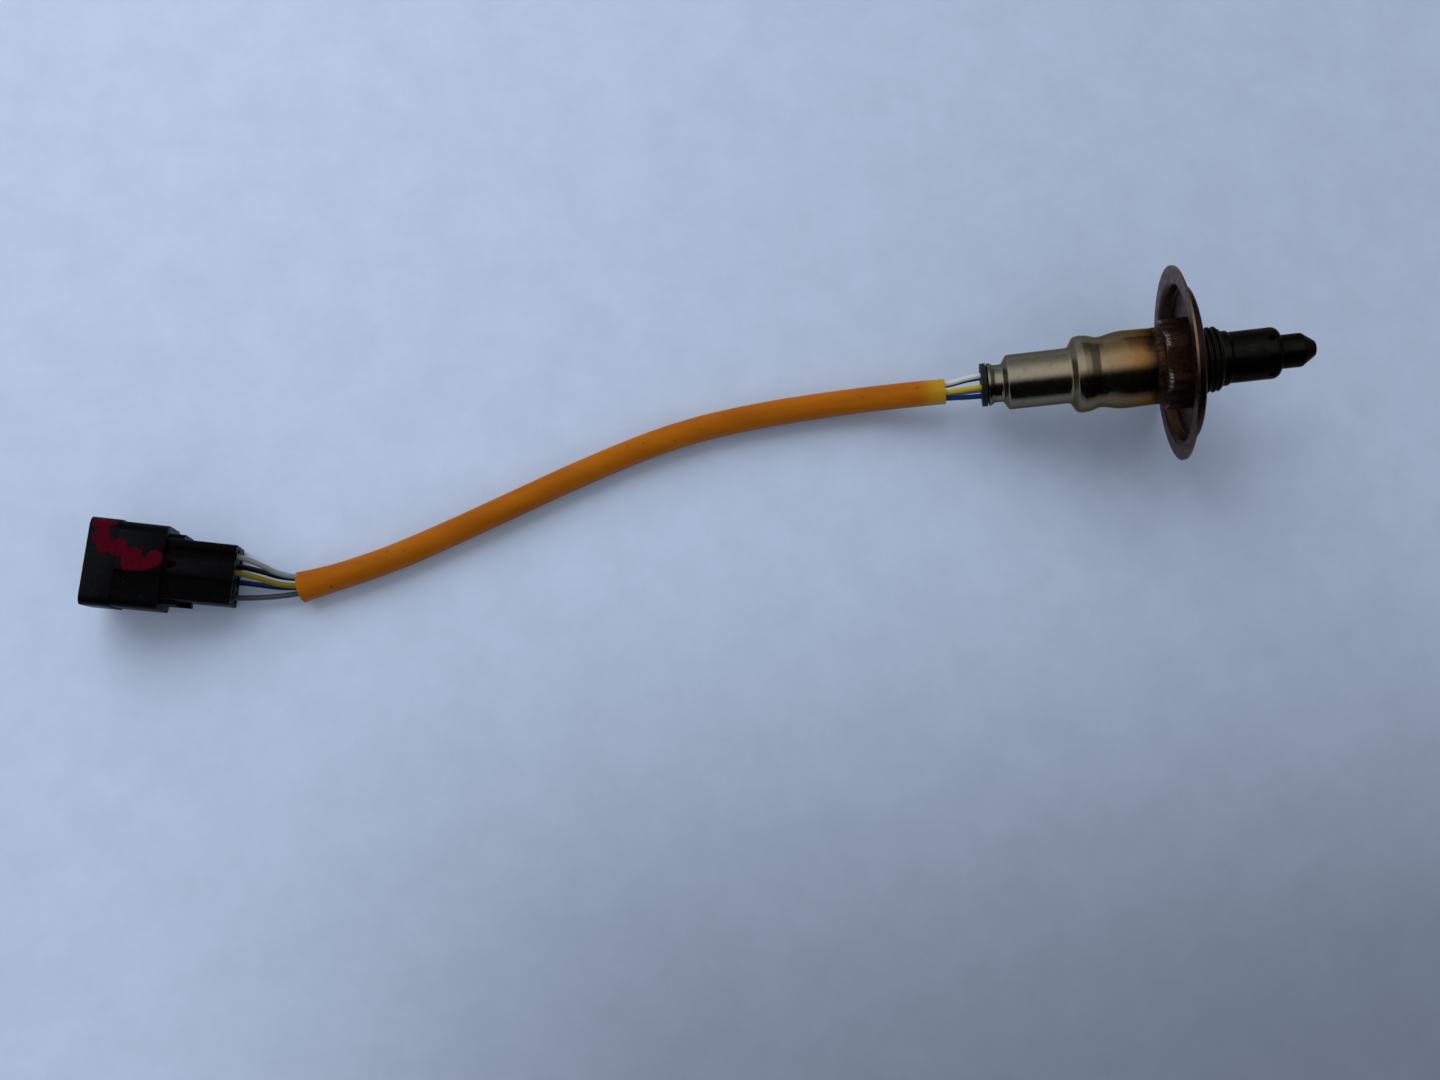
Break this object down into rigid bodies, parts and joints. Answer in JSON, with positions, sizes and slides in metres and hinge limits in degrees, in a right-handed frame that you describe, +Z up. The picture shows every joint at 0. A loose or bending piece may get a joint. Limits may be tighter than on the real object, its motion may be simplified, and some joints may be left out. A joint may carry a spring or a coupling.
{
  "type": "oxygen sensor",
  "caption": "Planar wide-band exhaust oxygen sensor with threaded hexagon body, dished flange plate, stepped casing, sleeved wire lead and plug.",
  "frame": {"origin": "on the surface it lies on, under the middle of the sensor proper (its lead and plug left out)", "axes": "+X runs level along the sensor towards its tip, +Z up; the sensor's own axis rises 15 degrees to the tip"},
  "size_m": [0.3307, 0.0774, 0.0515],
  "materials": {
    "tube_black": "burnt black satin steel of the gas tubes",
    "shell_steel": "heat-browned steel of hexagon, collar and thread",
    "flange_steel": "stainless dish with purple-brown heat tint",
    "casing_steel": "stainless cover, bronze by the collar and grey at the rear",
    "contact_steel": "bright spring steel",
    "zirconia": "sintered white ceramic strip",
    "ceramic_white": "fired steatite",
    "talc": "pressed mineral powder",
    "rubber_black": "moulded rubber",
    "seal_rubber": "soft sealing rubber",
    "wire_white": "wire insulation",
    "wire_black": "wire insulation",
    "wire_yellow": "wire insulation",
    "wire_blue": "wire insulation",
    "wire_grey": "wire insulation",
    "sleeve_orange": "satin silicone sleeve with brown specks",
    "plug_black": "moulded plastic with splashes of dark red paint",
    "retainer_grey": "moulded plastic",
    "tin_plate": "tin-plated terminal"
  },
  "bodies": {
    "root": {"metal_shell": "shell_steel", "flange_plate": "flange_steel", "outer_protector": "tube_black", "inner_protector": "tube_black", "sensing_element": "zirconia", "element_holder": "ceramic_white", "talc_packing": "talc", "insulator_sleeve": "ceramic_white", "packing_ring": "contact_steel", "rear_casing": "casing_steel", "wire_grommet": "rubber_black", "contact_holder": "ceramic_white", "holder_spring": "contact_steel", "contact_yellow": "contact_steel", "contact_white": "contact_steel", "contact_black": "contact_steel", "contact_grey": "contact_steel", "contact_blue": "contact_steel", "connector_housing": "plug_black", "terminal_pins": "tin_plate", "pin_retainer": "retainer_grey", "wire_seals": "seal_rubber", "cavity_plug": "seal_rubber", "wire_yellow": "wire_yellow", "wire_white": "wire_white", "wire_black": "wire_black", "wire_grey": "wire_grey", "wire_blue": "wire_blue", "lead_sleeve": "sleeve_orange"}
  },
  "joints": []
}
